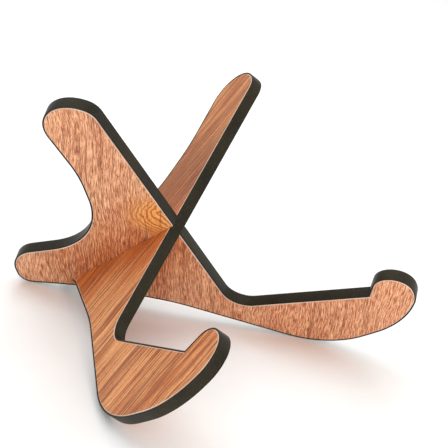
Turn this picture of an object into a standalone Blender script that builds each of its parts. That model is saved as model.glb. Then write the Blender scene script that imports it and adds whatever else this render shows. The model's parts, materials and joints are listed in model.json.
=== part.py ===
"""Knock-down guitar stand: two flat boards crossed at a right angle on a sloping half-lap.

Each board has an arm for the guitar's back, a rear leg, a straight front edge, a seat and an
upturned hook over a round foot. Both boards have one outline. A slot in each lets them slide
together along one line, which rises towards the front. The board's faces are veneered and all
its edges carry a soft edging strip as wide as the board is thick.

World frame: +Z up, the front towards -Y, the origin on the floor under the middle of the stand.
Board frame: X along the crossing line, Y across it towards the arm, Z out of the board's face.
"""
import bmesh
import bpy
from math import acos, atan2, ceil, cos, radians, sin, tan
from mathutils import Matrix, Vector

# Driving dimensions, in metres
BOARD_THICKNESS = 0.012
VENEER_THICKNESS = 0.0006
EDGING_STANDOUT = 0.0016
GLUE_GAP = 0.0003
SLOT_CLEARANCE = 0.0003
HALF_CROSSING_ANGLE = radians(45)
ARC_TOLERANCE = 0.0001
SMOOTH_BELOW = radians(30)

# The outline of the bare board, counter-clockwise: along the crossing line, across it, radius
OUTLINE = {
    "seat_corner": (-0.051, -0.116, 0.024),
    "arm_front": (0.063, 0.149, 0.017),
    "arm_tip": (0.025, 0.208, 0.031),
    "arm_back": (-0.018, 0.104, 0.126),
    "back_hollow": (-0.080, 0.024, 0.090),
    "leg_top": (-0.194, 0.069, 0.035),
    "leg_heel": (-0.221, 0.035, 0.011),
    "crotch": (-0.159, -0.011, 0.020),
    "belly": (-0.098, -0.078, 0.172),
    "foot_rear": (-0.011, -0.214, 0.089),
    "foot_front": (0.086, -0.222, 0.106),
    "hook_back": (0.125, -0.196, 0.033),
    "hook_tip": (0.162, -0.120, 0.019),
    "hook_root": (0.087, -0.173, 0.0),
}
CORNERS = list(OUTLINE)
FRONT_EDGE = ("seat_corner", "arm_front")
UNDERSIDE = ("leg_heel", "crotch")

HALF_BOARD = BOARD_THICKNESS / 2
HALF_SLOT = HALF_BOARD + SLOT_CLEARANCE

# Finishes: colour, roughness, metallic
FINISHES = {
    "core": ((0.62, 0.42, 0.26, 1.0), 0.80, 0.0),
    "veneer": ((0.66, 0.27, 0.11, 1.0), 0.42, 0.0),
    "edging": ((0.040, 0.036, 0.030, 1.0), 0.55, 0.0),
}


def corner_point(name):
    """The sharp corner of the outline, before it is rounded."""
    return Vector(OUTLINE[name][:2])


def direction(first, second):
    """The unit vector of the straight run from one corner to the next."""
    return (corner_point(second) - corner_point(first)).normalized()


def outward(run):
    """The unit normal that points out of the board from a counter-clockwise run."""
    return Vector((run.y, -run.x))


def corner_stations(name):
    """Points round one corner, each with the way its edge moves out as the outline is offset."""
    index = CORNERS.index(name)
    arrive = direction(CORNERS[index - 1], name)
    leave = direction(name, CORNERS[(index + 1) % len(CORNERS)])
    corner = corner_point(name)
    radius = OUTLINE[name][2]
    if radius == 0.0:
        mitre = outward(arrive) + outward(leave)
        return [(corner, mitre / mitre.dot(outward(arrive)))]
    turn = atan2(arrive.cross(leave), arrive.dot(leave))
    signed_radius = radius if turn > 0.0 else -radius
    start = corner - arrive * radius * tan(abs(turn) / 2)
    centre = start - outward(arrive) * signed_radius
    steps = max(2, ceil(abs(turn) / (2 * acos(1 - ARC_TOLERANCE / radius))))
    stations = []
    for step in range(steps + 1):
        normal = Matrix.Rotation(turn * step / steps, 2) @ outward(arrive)
        stations.append((centre + normal * signed_radius, normal))
    return stations


def walk(first, last):
    """Stations from one corner to another, counter-clockwise round the outline."""
    index = CORNERS.index(first)
    stations = corner_stations(first)
    while CORNERS[index] != last:
        index = (index + 1) % len(CORNERS)
        stations += corner_stations(CORNERS[index])
    return stations


def slot_mouth(run, across):
    """The station where a slot's wall, parallel to the crossing line, meets a straight run."""
    start = corner_point(run[0])
    along_run = direction(*run)
    point = start + along_run * (across - start.y) / along_run.y
    return (point, Vector((1.0 / outward(along_run).x, 0.0)))


def mitre_end(run, side):
    """The station at the hook's root, kept half a gap clear of the strip on the other side."""
    corner, mitre = corner_stations("hook_root")[0]
    return (corner + direction(*run) * side * mitre.length * GLUE_GAP / 2, mitre)


def moved_out(stations, distance):
    return [point + way * distance for point, way in stations]


def slot_floor_at():
    """Halfway between the front edge and the underside, where the two slots meet."""
    front = slot_mouth(FRONT_EDGE, 0.0)[0].x
    rear = slot_mouth(UNDERSIDE, 0.0)[0].x
    return (front + rear) / 2


def board_outline(slot_at_front):
    """The board's edge from one wall of its slot round to the other, and the slot's floor."""
    floor = slot_floor_at()
    if slot_at_front:
        edge = [slot_mouth(FRONT_EDGE, HALF_SLOT)] + walk("arm_front", "seat_corner")
        edge += [slot_mouth(FRONT_EDGE, -HALF_SLOT)]
        floor -= GLUE_GAP / 2
        floor_corners = [Vector((floor, -HALF_SLOT)), Vector((floor, HALF_SLOT))]
    else:
        edge = [slot_mouth(UNDERSIDE, -HALF_SLOT)] + walk("crotch", "leg_heel")
        edge += [slot_mouth(UNDERSIDE, HALF_SLOT)]
        floor += GLUE_GAP / 2
        floor_corners = [Vector((floor, HALF_SLOT)), Vector((floor, -HALF_SLOT))]
    return moved_out(edge, 0.0) + floor_corners


def finish_for(name, kind):
    colour, roughness, metallic = FINISHES[kind]
    material = bpy.data.materials.new(name)
    material.use_nodes = True
    shader = material.node_tree.nodes["Principled BSDF"]
    shader.inputs["Base Color"].default_value = colour
    shader.inputs["Roughness"].default_value = roughness
    shader.inputs["Metallic"].default_value = metallic
    return material


def thickened(name, faces, low, high, kind, parent):
    """A solid from flat faces in the board's plane, drawn out from low to high above it."""
    bm = bmesh.new()
    for loop in faces:
        bm.faces.new([bm.verts.new((x, y, low)) for x, y in loop])
    bmesh.ops.remove_doubles(bm, verts=bm.verts, dist=1e-6)
    drawn = bmesh.ops.extrude_face_region(bm, geom=bm.faces[:])
    top = [item for item in drawn["geom"] if isinstance(item, bmesh.types.BMVert)]
    bmesh.ops.translate(bm, verts=top, vec=(0.0, 0.0, high - low))
    bmesh.ops.recalc_face_normals(bm, faces=bm.faces)
    mesh = bpy.data.meshes.new(name)
    bm.to_mesh(mesh)
    bm.free()
    mesh.shade_smooth()
    mesh.set_sharp_from_angle(angle=SMOOTH_BELOW)
    mesh.materials.append(finish_for(name, kind))
    piece = bpy.data.objects.new(name, mesh)
    bpy.context.collection.objects.link(piece)
    piece.parent = parent
    return piece


def edging_strip(name, stations, parent):
    """A strip that follows the board's edge, one glue gap away from it."""
    inner = moved_out(stations, GLUE_GAP)
    outer = moved_out(stations, EDGING_STANDOUT)
    faces = [(inner[i], inner[i + 1], outer[i + 1], outer[i]) for i in range(len(inner) - 1)]
    return thickened(name, faces, -HALF_BOARD, HALF_BOARD, "edging", parent)


def laid_board(name, outline, parent):
    """A board's core with a sheet of veneer on each face."""
    veneer_back = HALF_BOARD - VENEER_THICKNESS
    core_face = veneer_back - GLUE_GAP
    thickened(f"{name}_core", [outline], -core_face, core_face, "core", parent)
    thickened(f"{name}_front_veneer", [outline], veneer_back, HALF_BOARD, "veneer", parent)
    thickened(f"{name}_rear_veneer", [outline], -HALF_BOARD, -veneer_back, "veneer", parent)


def side_view():
    """Every outer corner of the edging, seen along the stand's width: along the line, above it."""
    rise = cos(HALF_CROSSING_ANGLE)
    half_width = HALF_BOARD * sin(HALF_CROSSING_ANGLE)
    edge = moved_out(walk("seat_corner", "hook_root"), EDGING_STANDOUT)
    return [Vector((p.x, p.y * rise + side * half_width)) for p in edge for side in (-1, 1)]


def standing_tilt(points):
    """The tilt of the crossing line at which the legs and the round feet touch one floor."""
    split = corner_point("crotch").x

    def foot_above_leg(tilt):
        height = {False: [], True: []}
        for p in points:
            height[p.x > split].append(p.x * sin(tilt) + p.y * cos(tilt))
        return min(height[True]) - min(height[False])

    low, high = 0.0, radians(80)
    for _ in range(50):
        middle = (low + high) / 2
        if foot_above_leg(middle) < 0.0:
            low = middle
        else:
            high = middle
    return (low + high) / 2


def board_frame(name, parent, turn):
    """An empty on the crossing line, turned about it into the plane of one board."""
    frame = bpy.data.objects.new(name, None)
    bpy.context.collection.objects.link(frame)
    frame.parent = parent
    frame.rotation_euler.x = turn
    return frame


def crossing_line():
    """An empty whose X axis is the crossing line, so placed that the stand is on its floor."""
    points = side_view()
    tilt = standing_tilt(points)
    depths = [-p.x * cos(tilt) + p.y * sin(tilt) for p in points]
    heights = [p.x * sin(tilt) + p.y * cos(tilt) for p in points]
    line = bpy.data.objects.new("crossing_line", None)
    bpy.context.collection.objects.link(line)
    line.location = (0.0, -(min(depths) + max(depths)) / 2, -min(heights))
    up_the_line = (0.0, -cos(tilt), sin(tilt))
    square_to_it = (0.0, sin(tilt), cos(tilt))
    sideways = (-1.0, 0.0, 0.0)
    turn = Matrix((up_the_line, square_to_it, sideways)).transposed()
    line.rotation_euler = turn.to_euler()
    return line


def main():
    for old in list(bpy.data.objects):
        bpy.data.objects.remove(old)

    line = crossing_line()
    right = board_frame("right_board", line, HALF_CROSSING_ANGLE)
    left = board_frame("left_board", line, -HALF_CROSSING_ANGLE)

    laid_board("right_board", board_outline(slot_at_front=True), right)
    laid_board("left_board", board_outline(slot_at_front=False), left)

    before_root = ("hook_tip", "hook_root")
    after_root = ("hook_root", "seat_corner")
    root_from_hook = [mitre_end(before_root, -1)]
    root_from_seat = [mitre_end(after_root, 1)]

    arm_to_hook = [slot_mouth(FRONT_EDGE, HALF_SLOT)] + walk("arm_front", "hook_tip")
    edging_strip("right_board_long_edging", arm_to_hook + root_from_hook, right)
    seat_to_slot = walk("seat_corner", "seat_corner") + [slot_mouth(FRONT_EDGE, -HALF_SLOT)]
    edging_strip("right_board_seat_edging", root_from_seat + seat_to_slot, right)

    seat_to_leg = walk("seat_corner", "leg_heel") + [slot_mouth(UNDERSIDE, HALF_SLOT)]
    edging_strip("left_board_long_edging", root_from_seat + seat_to_leg, left)
    slot_to_hook = [slot_mouth(UNDERSIDE, -HALF_SLOT)] + walk("crotch", "hook_tip")
    edging_strip("left_board_foot_edging", slot_to_hook + root_from_hook, left)

    bpy.context.view_layer.update()


main()
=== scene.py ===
"""A knock-down guitar stand: two veneered boards crossed on a sloping half-lap, edged all round.

Lengths are in metres. The board frame has "along" on the crossing line, rising to the front,
"across" towards the arm, and "out" from the board's face.
"""
import json
from math import atan2, ceil, cos, pi, radians, sin, tan

import bmesh
import bpy
from mathutils import Matrix, Vector


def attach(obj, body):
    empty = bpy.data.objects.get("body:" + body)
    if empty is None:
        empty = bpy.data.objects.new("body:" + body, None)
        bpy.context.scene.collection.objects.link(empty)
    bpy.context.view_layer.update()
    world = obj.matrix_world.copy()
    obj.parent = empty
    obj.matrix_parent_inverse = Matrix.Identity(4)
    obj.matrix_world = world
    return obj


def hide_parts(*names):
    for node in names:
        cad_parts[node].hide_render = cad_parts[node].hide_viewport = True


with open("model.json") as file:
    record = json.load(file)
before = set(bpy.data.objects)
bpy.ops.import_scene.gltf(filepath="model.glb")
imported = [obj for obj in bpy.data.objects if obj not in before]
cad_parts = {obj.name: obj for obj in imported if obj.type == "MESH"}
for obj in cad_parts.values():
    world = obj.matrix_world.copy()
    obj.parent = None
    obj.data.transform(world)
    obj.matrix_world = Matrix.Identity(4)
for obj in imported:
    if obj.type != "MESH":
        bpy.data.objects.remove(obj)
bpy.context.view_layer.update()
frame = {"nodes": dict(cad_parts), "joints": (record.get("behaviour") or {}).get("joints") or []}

scene = bpy.context.scene

# ---------------------------------------------------------------- sizes

BOARD_THICKNESS = 0.012
VENEER_THICKNESS = 0.0006
EDGING_STANDOUT = 0.0016
GLUE_GAP = 0.0003
SLOT_CLEARANCE = 0.0003
HALF_BOARD = BOARD_THICKNESS / 2
HALF_SLOT = HALF_BOARD + SLOT_CLEARANCE
RIM_WIDTH = 0.0007
RIM_DEPTH = 0.00045
EDGING_ROUNDING = 0.0004
SMOOTH_BELOW = radians(28)
ARC_STEP = radians(2.5)
HALF_CROSSING_ANGLE = radians(45)

# The bare board's outline, counter-clockwise: along the crossing line, across it, radius
OUTLINE = {
    "seat_corner": (-0.051, -0.116, 0.024),
    "arm_front": (0.063, 0.149, 0.017),
    "arm_tip": (0.025, 0.208, 0.031),
    "arm_back": (-0.018, 0.104, 0.126),
    "back_hollow": (-0.080, 0.024, 0.090),
    "leg_top": (-0.194, 0.069, 0.035),
    "leg_heel": (-0.221, 0.035, 0.011),
    "crotch": (-0.159, -0.011, 0.020),
    "belly": (-0.098, -0.078, 0.172),
    "foot_rear": (-0.011, -0.214, 0.089),
    "foot_front": (0.086, -0.222, 0.106),
    "hook_back": (0.125, -0.196, 0.033),
    "hook_tip": (0.162, -0.120, 0.019),
    "hook_root": (0.087, -0.173, 0.0),
}
CORNERS = list(OUTLINE)
FRONT_EDGE = ("seat_corner", "arm_front")
UNDERSIDE = ("leg_heel", "crotch")


# ---------------------------------------------------------------- board frames

ACROSS_STAND = Vector((1.0, 0.0, 0.0))
CROSSING_LINE = Vector(frame["joints"][0]["axis"]).normalized()
SQUARE_TO_LINE = CROSSING_LINE.cross(ACROSS_STAND)


def middle_of(node, way):
    """How far the middle of a CAD node lies along a direction."""
    reach = [vertex.co.dot(way) for vertex in frame["nodes"][node].data.vertices]
    return (min(reach) + max(reach)) / 2


def highest_of(node, way):
    return max(vertex.co.dot(way) for vertex in frame["nodes"][node].data.vertices)


class Board:
    """One board's directions, and the turn from its own frame into the stand's."""

    def __init__(self, name, side):
        self.name = name
        self.along = CROSSING_LINE
        self.across = side * sin(HALF_CROSSING_ANGLE) * ACROSS_STAND
        self.across = self.across + cos(HALF_CROSSING_ANGLE) * SQUARE_TO_LINE
        self.out = self.along.cross(self.across)

    def place(self, origin):
        self.origin = origin
        turn = Matrix((self.along, self.across, self.out)).transposed().to_4x4()
        self.matrix = Matrix.Translation(origin) @ turn


right_board = Board("right_board", -1)
left_board = Board("left_board", 1)


# ---------------------------------------------------------------- outline

def corner_point(name):
    return Vector(OUTLINE[name][:2])


def direction(first, second):
    return (corner_point(second) - corner_point(first)).normalized()


def outward(run):
    return Vector((run.y, -run.x))


def corner_stations(name):
    """Points round one corner, each with the way its edge moves out as the outline is offset."""
    index = CORNERS.index(name)
    arrive = direction(CORNERS[index - 1], name)
    leave = direction(name, CORNERS[(index + 1) % len(CORNERS)])
    corner = corner_point(name)
    radius = OUTLINE[name][2]
    if radius == 0.0:
        mitre = outward(arrive) + outward(leave)
        return [(corner, mitre / mitre.dot(outward(arrive)))]
    turn = atan2(arrive.cross(leave), arrive.dot(leave))
    signed_radius = radius if turn > 0.0 else -radius
    start = corner - arrive * radius * tan(abs(turn) / 2)
    centre = start - outward(arrive) * signed_radius
    steps = ceil(abs(turn) / ARC_STEP)
    stations = []
    for step in range(steps + 1):
        normal = Matrix.Rotation(turn * step / steps, 2) @ outward(arrive)
        stations.append((centre + normal * signed_radius, normal))
    return stations


def walk(first, last):
    """Stations from one corner to another, counter-clockwise round the outline."""
    index = CORNERS.index(first)
    stations = corner_stations(first)
    while CORNERS[index] != last:
        index = (index + 1) % len(CORNERS)
        stations += corner_stations(CORNERS[index])
    return stations


def slot_mouth(run, across):
    """The station where a slot's wall meets a straight run."""
    start = corner_point(run[0])
    along_run = direction(*run)
    point = start + along_run * (across - start.y) / along_run.y
    return (point, Vector((1.0 / outward(along_run).x, 0.0)))


def mitre_end(run, side):
    """The station at the hook's root, half a gap clear of the next strip."""
    corner, mitre = corner_stations("hook_root")[0]
    return (corner + direction(*run) * side * mitre.length * GLUE_GAP / 2, mitre)


def moved_out(stations, distance):
    return [point + way * distance for point, way in stations]


def board_stations(slot_at_front):
    """The board's edge from one wall of its slot round to the other, and the slot's floor."""
    floor = (slot_mouth(FRONT_EDGE, 0.0)[0].x + slot_mouth(UNDERSIDE, 0.0)[0].x) / 2
    still = Vector((0.0, 0.0))
    if slot_at_front:
        run, side, corners = FRONT_EDGE, 1, walk("arm_front", "seat_corner")
        floor -= GLUE_GAP / 2
    else:
        run, side, corners = UNDERSIDE, -1, walk("crotch", "leg_heel")
        floor += GLUE_GAP / 2
    edge = [slot_mouth(run, side * HALF_SLOT)] + corners + [slot_mouth(run, -side * HALF_SLOT)]
    edge += [(Vector((floor, -side * HALF_SLOT)), still), (Vector((floor, side * HALF_SLOT)), still)]
    return edge


def crossing_point():
    """Where the crossing line passes the boards' front edges, found from the CAD cores."""
    core = "right_board_core"
    tops = moved_out(board_stations(slot_at_front=True), 0.0)
    along = highest_of(core, CROSSING_LINE) - max(point.x for point in tops)
    up = middle_of(core, right_board.out) * right_board.out
    up = up + middle_of("left_board_core", left_board.out) * left_board.out
    return CROSSING_LINE * along + up


CROSSING = crossing_point()
right_board.place(CROSSING)
left_board.place(CROSSING)


# ---------------------------------------------------------------- shader maths

def socket_named(sockets, name):
    if isinstance(name, int):
        return sockets[name]
    live = [socket for socket in sockets if socket.name == name and socket.enabled]
    return live[0]


class Value:
    """A node's output socket. Arithmetic on numbers adds Math nodes."""

    def __init__(self, finish, socket):
        self.finish = finish
        self.socket = socket

    def math(self, operation, *others):
        values = dict(enumerate((self, *others)))
        return self.finish.node("ShaderNodeMath", values, operation=operation)

    def __add__(self, other):
        return self.math("ADD", other)

    def __sub__(self, other):
        return self.math("SUBTRACT", other)

    def __mul__(self, other):
        return self.math("MULTIPLY", other)

    def __truediv__(self, other):
        return self.math("DIVIDE", other)

    def __pow__(self, other):
        return self.math("POWER", other)

    def __neg__(self):
        return self.math("MULTIPLY", -1.0)

    def __abs__(self):
        return self.math("ABSOLUTE")

    def __rsub__(self, other):
        return self.finish.node("ShaderNodeMath", {0: other, 1: self}, operation="SUBTRACT")

    __radd__ = __add__
    __rmul__ = __mul__

    def sine(self):
        return self.math("SINE")


class Finish:
    """A material, and the methods that add nodes to it."""

    def __init__(self, name):
        self.material = bpy.data.materials.new(name)
        self.material.use_nodes = True
        self.tree = self.material.node_tree
        self.shader = self.tree.nodes["Principled BSDF"]

    def fill(self, socket, value):
        if isinstance(value, Value):
            self.tree.links.new(value.socket, socket)
        else:
            socket.default_value = value

    def node(self, kind, values=None, output=0, **settings):
        """Adds one node: its settings first, then its sockets' values or links."""
        made = self.tree.nodes.new(kind)
        for name, value in settings.items():
            setattr(made, name, value)
        for name, value in (values or {}).items():
            self.fill(socket_named(made.inputs, name), value)
        return Value(self, socket_named(made.outputs, output))

    def place(self):
        return self.node("ShaderNodeTexCoord", output="Object")

    def dot(self, vector, way):
        values = {0: vector, 1: tuple(way)}
        return self.node("ShaderNodeVectorMath", values, "Value", operation="DOT_PRODUCT")

    def joined(self, x, y, z):
        return self.node("ShaderNodeCombineXYZ", {"X": x, "Y": y, "Z": z})

    def noise(self, place, scale, detail=3.0, roughness=0.55, distortion=0.0):
        values = {
            "Vector": place,
            "Scale": scale,
            "Detail": detail,
            "Roughness": roughness,
            "Distortion": distortion,
        }
        return self.node("ShaderNodeTexNoise", values, "Fac")

    def ramp(self, value, low, high):
        """0 below low, 1 above high, smooth between."""
        values = {"Value": value, "From Min": low, "From Max": high}
        return self.node("ShaderNodeMapRange", values, "Result", interpolation_type="SMOOTHSTEP")

    def mix(self, factor, first, second):
        """Mixes two colours."""
        values = {"Factor": factor, "A": first, "B": second}
        return self.node("ShaderNodeMix", values, "Result", data_type="RGBA")

    def bump(self, height, strength, distance):
        values = {"Height": height, "Strength": strength, "Distance": distance}
        return self.node("ShaderNodeBump", values, "Normal")

    def shade(self, **values):
        for name, value in values.items():
            self.fill(socket_named(self.shader.inputs, name.replace("_", " ")), value)
        return self.material


def linear_channel(level):
    """One sRGB channel in 0 to 255 as a linear one."""
    share = level / 255
    return share / 12.92 if level < 11 else ((share + 0.055) / 1.055) ** 2.4


def tone(red, green, blue):
    return (linear_channel(red), linear_channel(green), linear_channel(blue), 1.0)


# ---------------------------------------------------------------- finishes

GRAIN_ANGLE = radians(40)
GRAIN_DRIFT = 0.014
DRIFT_SCALE = 9.0
WANDER_SCALE = 42.0
PORE_BROWN = tone(112, 56, 34)
STREAK_BROWN = tone(116, 56, 30)
GOLD = tone(246, 174, 92)

# Each board's veneer: its tones, how much painted shade darkens the arm and how much of the hook takes a
# tone of its own, how far the arm's streaks and the painted shade by the crossing are held back under
# the arm's painted shade, and how strong each kind of streak is. Streaks are given as length, width and
# detail.
VENEERS = {
    "right_board": {
        "light": tone(240, 170, 126),
        "dark": tone(206, 124, 84),
        "pale": tone(250, 202, 156),
        "warm_light": tone(212, 116, 50),
        "warm_dark": tone(158, 74, 28),
        "arm": tone(214, 152, 114),
        "arm_share": 0.45,
        "arm_calm": 0.0,
        "arm_cool": 0.0,
        "hook": tone(226, 146, 104),
        "hook_share": 0.50,
        "hook_reach": (-0.090, 0.010),
        "fine": (0.060, 0.0013, 4.0),
        "hair": (0.012, 0.0009, 2.0),
        "streak_share": 0.50,
        "hair_share": 0.74,
        "dash_share": 0.26,
        "line_share": 0.50,
    },
    "left_board": {
        "light": tone(228, 154, 98),
        "dark": tone(180, 94, 40),
        "pale": tone(244, 180, 116),
        "warm_light": tone(224, 114, 30),
        "warm_dark": tone(164, 66, 10),
        "arm": tone(128, 66, 30),
        "arm_share": 0.85,
        "arm_calm": 0.40,
        "arm_cool": 0.75,
        "hook": tone(178, 90, 32),
        "hook_share": 0.50,
        "hook_reach": (-0.030, 0.100),
        "fine": (0.200, 0.0025, 4.0),
        "hair": (0.060, 0.0009, 2.0),
        "streak_share": 0.80,
        "hair_share": 0.50,
        "dash_share": 0.20,
        "line_share": 0.90,
    },
}

# The streaks both veneers have, and the order that sets each kind's own noise
SHARED_STREAKS = {
    "broad": (0.200, 0.0190, 2.0),
    "dashes": (0.0150, 0.0011, 2.0),
    "pores": (0.0048, 0.0006, 2.0),
    "dark_lines": (0.200, 0.0046, 3.0),
}
STREAK_KINDS = ("broad", "fine", "hair", "dashes", "pores", "dark_lines")

# The noise levels between which each mark comes in
BANDS = {
    "light_wood": (0.34, 0.60),
    "light_warm": (0.38, 0.60),
    "pale_streak": (0.52, 0.64),
    "dark_streak": (0.38, 0.49),
    "pale_hair": (0.52, 0.60),
    "dark_hair": (0.40, 0.48),
    "pale_dash": (0.53, 0.62),
    "dark_dash": (0.40, 0.50),
    "dark_line": (0.58, 0.66),
    "pore": (0.34, 0.43),
}

# Where the painted shade and warm bounce by the crossing, the painted shade on the arm and the hook's
# tone begin and end, in metres from the crossing
CROSSING_SHADE_REACH = (0.002, 0.080)
CROSSING_SHADE_WANDER = 0.07
CROSSING_SHADE_SHARE = 0.90
LEG_FADE = (0.130, 0.200)
ARM_SHADE_RISE = (0.002, 0.026)
ARM_SHADE_FADE = (0.070, 0.140)
ARM_SHADE_FADE_SHARE = 0.60
HOOK_RISE = (0.060, 0.120)

# The cathedral figure: its middle, the turn of its axis, the bend of its arches and its reach
FIGURE_ALONG = 0.004
FIGURE_ACROSS = 0.019
FIGURE_TURN = radians(-24)
FIGURE_BEND = 34.0
FIGURE_REACH = 0.050
FIGURE_HEART = 0.40
FIGURE_FLATNESS = 1.6
ARCH_PITCH = 0.0060
ARCH_WANDER = 0.022
EDGE_WANDER = 0.020


def cathedral_figure(finish, along, across, wander):
    """How far along the figure's arches each point lies, and how near its middle: 1 there, 0 outside."""
    from_middle = along - FIGURE_ALONG
    above_middle = across - FIGURE_ACROSS
    u = from_middle * cos(FIGURE_TURN) + above_middle * sin(FIGURE_TURN)
    v = above_middle * cos(FIGURE_TURN) - from_middle * sin(FIGURE_TURN)
    arch = u - v * v * FIGURE_BEND + wander * ARCH_WANDER
    distance = (u * u + v * v * FIGURE_FLATNESS) ** 0.5 + wander * EDGE_WANDER
    near = 1.0 - finish.ramp(distance, FIGURE_HEART * FIGURE_REACH, FIGURE_REACH)
    return arch, near


def veneer_finish(name, board, seed, cathedral):
    """Straight-grained reddish veneer, painted darker and warmer by the crossing as shade and bounce,
    with painted shade on the arm and a cathedral figure on one face.
    """
    finish = Finish(name)
    look = VENEERS[board.name]
    place = finish.place()
    along = finish.dot(place, board.along) - board.origin.dot(board.along)
    across = finish.dot(place, board.across) - board.origin.dot(board.across)
    drift = finish.noise(finish.joined(along, across, seed), DRIFT_SCALE, 2.0) - 0.5
    wander = finish.noise(finish.joined(along, across, seed + 7.0), WANDER_SCALE) - 0.5
    with_grain = along * cos(GRAIN_ANGLE) + across * sin(GRAIN_ANGLE)
    over_grain = across * cos(GRAIN_ANGLE) - along * sin(GRAIN_ANGLE) + drift * GRAIN_DRIFT
    sizes = {**SHARED_STREAKS, "fine": look["fine"], "hair": look["hair"]}

    def streaks(kind):
        """Noise drawn out with the grain."""
        length, width, detail = sizes[kind]
        shift = seed + 1.0 + STREAK_KINDS.index(kind)
        stretched = finish.joined(with_grain / length, over_grain / width, shift)
        return finish.noise(stretched, 1.0, detail, 0.6)

    def above(noise, band):
        return finish.ramp(noise, *BANDS[band])

    def below(noise, band):
        return 1.0 - above(noise, band)

    broad, fine, hair, dashes, pores, dark_lines = (streaks(kind) for kind in STREAK_KINDS)
    near = 0.0
    if cathedral:
        arch, near = cathedral_figure(finish, along, across, wander)

    # Painted shade and warm bounce where the boards meet: darker, warmer colour towards the crossing
    # line, fading towards the rear leg
    # Painted shade on the arm, strongest just above the crossing and lighter towards the arm's tip
    arm = finish.ramp(across, *ARM_SHADE_RISE) * (1.0 - ARM_SHADE_FADE_SHARE * finish.ramp(across, *ARM_SHADE_FADE))
    hook = finish.ramp(-across, *HOOK_RISE) * finish.ramp(along, *look["hook_reach"])
    warmth = 1.0 - finish.ramp(abs(across) + (broad - 0.5) * CROSSING_SHADE_WANDER, *CROSSING_SHADE_REACH)
    warmth = warmth * (1.0 - finish.ramp(-along, *LEG_FADE)) * (1.0 - arm * look["arm_cool"])
    off_figure = 1.0 - near * 0.70
    # Streaks are held back under the figure, under the painted shade by the crossing and under the
    # painted shade on the arm
    plain = off_figure * (1.0 - warmth * 0.55) * (1.0 - arm * look["arm_calm"])

    colour = finish.mix(above(broad, "light_wood"), look["dark"], look["light"])
    # Painted shade darkens the arm
    colour = finish.mix(arm * look["arm_share"], colour, look["arm"])
    colour = finish.mix(hook * look["hook_share"], colour, look["hook"])
    # Painted shade and warm bounce by the crossing, in darker orange tones
    warm = finish.mix(above(fine, "light_warm"), look["warm_dark"], look["warm_light"])
    colour = finish.mix(warmth * CROSSING_SHADE_SHARE, colour, warm)

    if cathedral:
        waves = ((arch + fine * 0.003) * (2 * pi / ARCH_PITCH)).sine()
        gold = finish.mix(0.6 + broad * 0.4, look["warm_light"], GOLD)
        colour = finish.mix(near * 0.88, colour, gold)
        arches = (1.0 - finish.ramp(waves, -0.90, 0.10)) * near
        broken = 0.45 + 0.55 * finish.ramp(hair, 0.30, 0.60)
        colour = finish.mix(arches * broken, colour, look["warm_dark"])

    pore_mask = below(pores, "pore")
    marks = (
        (above(fine, "pale_streak") * plain, 0.80 * look["streak_share"], look["pale"]),
        (above(hair, "pale_hair") * plain, look["hair_share"], look["pale"]),
        (below(hair, "dark_hair") * off_figure, look["hair_share"], STREAK_BROWN),
        (below(fine, "dark_streak") * plain, look["streak_share"], STREAK_BROWN),
        (below(dashes, "dark_dash") * off_figure, look["dash_share"], STREAK_BROWN),
        (above(dashes, "pale_dash") * plain, 0.75 * look["dash_share"], look["pale"]),
        (above(dark_lines, "dark_line"), look["line_share"], STREAK_BROWN),
        (pore_mask, 0.60, PORE_BROWN),
    )
    for mask, share, tint in marks:
        colour = finish.mix(mask * share, colour, tint)
    relief = finish.bump(hair * 0.4 + fine * 0.3 - pore_mask * 0.8, 0.35, 0.00012)
    return finish.shade(
        Base_Color=colour,
        Roughness=0.46 + 0.14 * fine + 0.10 * pore_mask,
        Normal=relief,
        Specular_IOR_Level=0.30,
    )


RIM_FLECKS = 900.0
RIM_CLOUDS = 30.0


def rim_finish():
    """The pale bevelled edge of the veneer, where the sheet's cut shows."""
    finish = Finish("veneer_rim")
    place = finish.place()
    flecks = finish.noise(place, RIM_FLECKS)
    clouds = finish.noise(place, RIM_CLOUDS, 2.0)
    colour = finish.mix(finish.ramp(clouds, 0.35, 0.65), tone(206, 178, 160), tone(226, 204, 188))
    colour = finish.mix(finish.ramp(flecks, 0.55, 0.75) * 0.35, colour, tone(176, 132, 104))
    relief = finish.bump(flecks, 0.3, 0.0001)
    return finish.shade(Base_Color=colour, Roughness=0.50 + 0.15 * flecks, Normal=relief)


# Noise scales on the edging strip
EDGING_CELLS = 1150.0
EDGING_CREASES = 420.0
EDGING_CLOUDS = 22.0
EDGING_SPECKS = 2600.0


def edging_finish():
    """Charcoal leather-look edging, fine-grained, with a soft satin."""
    finish = Finish("edging")
    place = finish.place()
    cell_values = {"Vector": place, "Scale": EDGING_CELLS, "Randomness": 0.9}
    cells = finish.node("ShaderNodeTexVoronoi", cell_values, "Distance", feature="SMOOTH_F1")
    creases = finish.noise(place, EDGING_CREASES, 4.0, 0.6, 0.4)
    clouds = finish.noise(place, EDGING_CLOUDS)
    specks = finish.noise(place, EDGING_SPECKS, 2.0)
    colour = finish.mix(finish.ramp(clouds, 0.35, 0.68), tone(24, 19, 6), tone(37, 31, 13))
    colour = finish.mix(finish.ramp(creases, 0.52, 0.72) * 0.5, colour, tone(58, 51, 34))
    colour = finish.mix(finish.ramp(specks, 0.60, 0.75) * 0.3, colour, tone(17, 14, 9))
    height = cells * 0.7 + creases * 0.6 + specks * 0.2
    relief = finish.bump(height, 0.45, 0.00016)
    roughness = 0.34 + 0.14 * clouds + 0.10 * cells
    return finish.shade(
        Base_Color=colour,
        Roughness=roughness,
        Normal=relief,
        Specular_IOR_Level=0.20,
    )


PLY_THICKNESS = 0.0017


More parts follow.
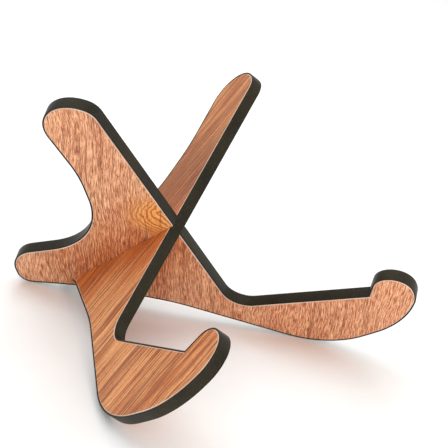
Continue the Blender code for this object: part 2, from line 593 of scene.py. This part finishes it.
def core_finish(board):
    """Plywood: thin plies across the board's thickness, with a fibrous sawn face."""
    finish = Finish(f"{board.name}_plywood")
    place = finish.place()
    out = finish.dot(place, board.out) - board.origin.dot(board.out)
    along = finish.dot(place, board.along)
    fibres = finish.noise(finish.joined(along * 60.0, out * 2600.0, 3.0), 1.0, 3.0)
    plies = (out * (pi / PLY_THICKNESS)).sine()
    colour = finish.mix(finish.ramp(plies, -0.3, 0.3), tone(150, 104, 66), tone(214, 172, 126))
    colour = finish.mix(finish.ramp(fibres, 0.45, 0.70) * 0.5, colour, tone(122, 80, 50))
    relief = finish.bump(fibres + plies * 0.3, 0.4, 0.0002)
    return finish.shade(Base_Color=colour, Roughness=0.68 + 0.15 * fibres, Normal=relief)


# ---------------------------------------------------------------- pieces

def finished_object(name, mesh, board):
    """Puts a mesh made in the board's frame where it belongs, its object at the origin."""
    mesh.transform(board.matrix)
    mesh.shade_smooth()
    mesh.set_sharp_from_angle(angle=SMOOTH_BELOW)
    piece = bpy.data.objects.new(name, mesh)
    scene.collection.objects.link(piece)
    return piece


def veneer_sheet(name, board, stations, side, face_material, rim_material):
    """A sheet of veneer whose outer face has a fine bevel all along the board's edge."""
    face = side * HALF_BOARD
    levels = (
        (0.0, face - side * VENEER_THICKNESS),
        (0.0, face - side * RIM_DEPTH),
        (-RIM_WIDTH, face),
    )
    bm = bmesh.new()
    rings = []
    for offset, height in levels:
        points = moved_out(stations, offset)
        rings.append([bm.verts.new((point.x, point.y, height)) for point in points])
    count = len(stations)
    for lower, upper in zip(rings, rings[1:]):
        for i in range(count):
            j = (i + 1) % count
            wall = bm.faces.new((lower[i], lower[j], upper[j], upper[i]))
            wall.material_index = 1
    bm.faces.new(rings[0])
    bm.faces.new(rings[-1])
    bmesh.ops.dissolve_degenerate(bm, dist=1e-7, edges=bm.edges)
    bmesh.ops.recalc_face_normals(bm, faces=bm.faces)
    mesh = bpy.data.meshes.new(name)
    bm.to_mesh(mesh)
    bm.free()
    mesh.materials.append(face_material)
    mesh.materials.append(rim_material)
    return finished_object(name, mesh, board)


def linked(tree, kind, inputs, **settings):
    """Adds one geometry node: settings, then input values or links by socket."""
    made = tree.nodes.new(kind)
    for name, value in settings.items():
        setattr(made, name, value)
    for name, value in inputs.items():
        socket = socket_named(made.inputs, name)
        if isinstance(value, bpy.types.NodeSocket):
            tree.links.new(value, socket)
        else:
            socket.default_value = value
    return made


def edging_tree(material):
    """A tree that lays a rounded strip along a path, opened out along each point's own way."""
    tree = bpy.data.node_groups.new("edging_along_path", "GeometryNodeTree")
    geometry = {"socket_type": "NodeSocketGeometry"}
    tree.interface.new_socket("Path", in_out="INPUT", **geometry)
    for name in ("Inner Gap", "Standout", "Width", "Rounding"):
        tree.interface.new_socket(name, in_out="INPUT", socket_type="NodeSocketFloat")
    tree.interface.new_socket("Strip", in_out="OUTPUT", **geometry)
    guide, inner_gap, standout, width, rounding = tree.nodes.new("NodeGroupInput").outputs[:5]

    thickness = linked(tree, "ShaderNodeMath", {0: standout, 1: inner_gap}, operation="SUBTRACT")
    middle = linked(tree, "ShaderNodeMath", {0: standout, 1: inner_gap}, operation="ADD")
    middle = linked(tree, "ShaderNodeMath", {0: middle.outputs[0], 1: 0.5}, operation="MULTIPLY")
    section = linked(
        tree,
        "GeometryNodeCurvePrimitiveQuadrilateral",
        {"Width": thickness.outputs[0], "Height": width},
        mode="RECTANGLE",
    )
    rounded = linked(
        tree,
        "GeometryNodeFilletCurve",
        {"Curve": section.outputs[0], "Radius": rounding, "Limit Radius": True, "Count": 4},
        mode="POLY",
    )
    section_place = tree.nodes.new("GeometryNodeInputPosition")
    kept = tree.nodes.new("GeometryNodeCaptureAttribute")
    kept.capture_items.new("VECTOR", "section")
    tree.links.new(rounded.outputs[0], kept.inputs[0])
    tree.links.new(section_place.outputs[0], kept.inputs[1])

    path = linked(tree, "GeometryNodeMeshToCurve", {"Mesh": guide})
    swept = linked(
        tree,
        "GeometryNodeCurveToMesh",
        {"Curve": path.outputs[0], "Profile Curve": kept.outputs[0], "Fill Caps": True},
    )

    def vector_kept(name):
        return linked(
            tree, "GeometryNodeInputNamedAttribute", {"Name": name}, data_type="FLOAT_VECTOR"
        ).outputs[0]

    parts = linked(tree, "ShaderNodeSeparateXYZ", {0: kept.outputs[1]})
    depth = linked(tree, "ShaderNodeMath", {0: parts.outputs[0], 1: middle.outputs[0]}, operation="ADD")
    outwards = linked(
        tree,
        "ShaderNodeVectorMath",
        {0: vector_kept("way_out"), "Scale": depth.outputs[0]},
        operation="SCALE",
    )
    level = linked(tree, "ShaderNodeCombineXYZ", {"Z": parts.outputs[1]})
    place = linked(
        tree,
        "ShaderNodeVectorMath",
        {0: vector_kept("edge_point"), 1: outwards.outputs[0]},
        operation="ADD",
    )
    place = linked(
        tree,
        "ShaderNodeVectorMath",
        {0: place.outputs[0], 1: level.outputs[0]},
        operation="ADD",
    )
    laid = linked(
        tree,
        "GeometryNodeSetPosition",
        {"Geometry": swept.outputs[0], "Position": place.outputs[0]},
    )
    real = linked(tree, "GeometryNodeRealizeInstances", {"Geometry": laid.outputs[0]})
    coated = linked(
        tree, "GeometryNodeSetMaterial", {"Geometry": real.outputs[0], "Material": material}
    )
    last = tree.nodes.new("NodeGroupOutput")
    tree.links.new(coated.outputs[0], last.inputs[0])
    return tree


def edging_strip(name, board, stations, tree):
    """Lays the edging tree along one run of the board's edge, and keeps the plain mesh."""
    path = bpy.data.meshes.new(name + "_path")
    points = [(point.x, point.y, 0.0) for point, _ in stations]
    path.from_pydata(points, [(i, i + 1) for i in range(len(points) - 1)], [])
    for attribute, values in (
        ("edge_point", points),
        ("way_out", [(way.x, way.y, 0.0) for _, way in stations]),
    ):
        layer = path.attributes.new(attribute, "FLOAT_VECTOR", "POINT")
        layer.data.foreach_set("vector", [c for value in values for c in value])
    guide = bpy.data.objects.new(name + "_path", path)
    scene.collection.objects.link(guide)
    modifier = guide.modifiers.new("edging", "NODES")
    modifier.node_group = tree
    sizes = {
        "Inner Gap": GLUE_GAP,
        "Standout": EDGING_STANDOUT,
        "Width": BOARD_THICKNESS,
        "Rounding": EDGING_ROUNDING,
    }
    for item in tree.interface.items_tree:
        if item.name in sizes and item.in_out == "INPUT":
            modifier[item.identifier] = sizes[item.name]
    depsgraph = bpy.context.evaluated_depsgraph_get()
    strip = bpy.data.meshes.new_from_object(guide.evaluated_get(depsgraph))
    guide.modifiers.clear()
    bpy.data.objects.remove(guide)
    strip.name = name
    bm = bmesh.new()
    bm.from_mesh(strip)
    bmesh.ops.remove_doubles(bm, verts=bm.verts, dist=1e-6)
    bmesh.ops.recalc_face_normals(bm, faces=bm.faces)
    bm.to_mesh(strip)
    bm.free()
    return finished_object(name, strip, board)


def add_board(board, slot_at_front, seed):
    """The two sheets of veneer, and the plywood finish on the CAD core."""
    stations = board_stations(slot_at_front)
    rim = FINISHES["rim"]
    for side, place in ((1, "front"), (-1, "rear")):
        node = f"{board.name}_{place}_veneer"
        cathedral = slot_at_front and side == 1
        face = veneer_finish(f"{node}_face", board, seed + 10.0 * side, cathedral)
        sheet = veneer_sheet(f"{node}_sheet", board, stations, side, face, rim)
        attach(sheet, board.name)
        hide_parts(node)
    core = frame["nodes"][f"{board.name}_core"]
    core.data.materials.clear()
    core.data.materials.append(core_finish(board))


def add_edging(board, node, stations, tree):
    strip = edging_strip(node + "_strip", board, stations, tree)
    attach(strip, board.name)
    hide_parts(node)


FINISHES = {"rim": rim_finish(), "edging": edging_finish()}

add_board(right_board, slot_at_front=True, seed=3.0)
add_board(left_board, slot_at_front=False, seed=41.0)

STRIP_TREE = edging_tree(FINISHES["edging"])
to_root = [mitre_end(("hook_tip", "hook_root"), -1)]
from_root = [mitre_end(("hook_root", "seat_corner"), 1)]
seat_corner = walk("seat_corner", "seat_corner")

add_edging(
    right_board,
    "right_board_long_edging",
    [slot_mouth(FRONT_EDGE, HALF_SLOT)] + walk("arm_front", "hook_tip") + to_root,
    STRIP_TREE,
)
add_edging(
    right_board,
    "right_board_seat_edging",
    from_root + seat_corner + [slot_mouth(FRONT_EDGE, -HALF_SLOT)],
    STRIP_TREE,
)
add_edging(
    left_board,
    "left_board_long_edging",
    from_root + walk("seat_corner", "leg_heel") + [slot_mouth(UNDERSIDE, HALF_SLOT)],
    STRIP_TREE,
)
add_edging(
    left_board,
    "left_board_foot_edging",
    [slot_mouth(UNDERSIDE, -HALF_SLOT)] + walk("crotch", "hook_tip") + to_root,
    STRIP_TREE,
)


# ---------------------------------------------------------------- studio

FLOOR_HALF_WIDTH = 6.0
FLOOR_DROP = 0.0005
SKY_STRENGTH = 0.80
LIGHT_TARGET = Vector((0.0, 0.0, 0.12))

# Each softbox: its place, size, power and colour
SOFTBOXES = {
    "key_softbox": ((-1.2, -1.6, 0.55), 2.0, 26.0, (1.0, 0.985, 0.96)),
    "fill_softbox": ((1.3, -1.3, 1.0), 1.6, 5.0, (1.0, 1.0, 1.0)),
    "top_softbox": ((0.2, 0.6, 2.4), 3.0, 30.0, (1.0, 1.0, 1.0)),
    "back_softbox": ((1.3, 1.5, 0.75), 0.7, 8.0, (1.0, 1.0, 1.0)),
}

CAMERA_PLACE = (-0.83137, -0.77155, 0.56587)
CAMERA_TURN = (radians(68.831), radians(-7.670), radians(-46.334))
CAMERA_LENS = 103.87
SENSOR_WIDTH = 36.0
CLIP_START = 0.01


def add_floor():
    bm = bmesh.new()
    bmesh.ops.create_grid(bm, x_segments=1, y_segments=1, size=FLOOR_HALF_WIDTH)
    mesh = bpy.data.meshes.new("studio_floor")
    bm.to_mesh(mesh)
    bm.free()
    finish = Finish("pale_floor")
    speckle = finish.noise(finish.place(), 40.0)
    colour = finish.mix(speckle, (0.84, 0.84, 0.83, 1.0), (0.88, 0.88, 0.87, 1.0))
    mesh.materials.append(finish.shade(Base_Color=colour, Roughness=0.85))
    floor = bpy.data.objects.new("studio_floor", mesh)
    scene.collection.objects.link(floor)
    floor.location.z = -FLOOR_DROP


def add_light(name, place, size, power, colour):
    lamp = bpy.data.lights.new(name, "AREA")
    lamp.size = size
    lamp.energy = power
    lamp.color = colour
    light = bpy.data.objects.new(name, lamp)
    light.location = place
    light.rotation_euler = (LIGHT_TARGET - Vector(place)).to_track_quat("-Z", "Y").to_euler()
    scene.collection.objects.link(light)


def add_studio():
    world = bpy.data.worlds.new("studio")
    world.use_nodes = True
    sky = world.node_tree.nodes["Background"]
    sky.inputs["Color"].default_value = (1.0, 1.0, 1.0, 1.0)
    sky.inputs["Strength"].default_value = SKY_STRENGTH
    scene.world = world
    scene.view_settings.view_transform = "Standard"
    for name, settings in SOFTBOXES.items():
        add_light(name, *settings)


def add_camera():
    data = bpy.data.cameras.new("studio_camera")
    data.lens = CAMERA_LENS
    data.sensor_width = SENSOR_WIDTH
    data.clip_start = CLIP_START
    camera = bpy.data.objects.new("studio_camera", data)
    camera.location = CAMERA_PLACE
    camera.rotation_euler = CAMERA_TURN
    scene.collection.objects.link(camera)
    scene.camera = camera


add_floor()
add_studio()
add_camera()
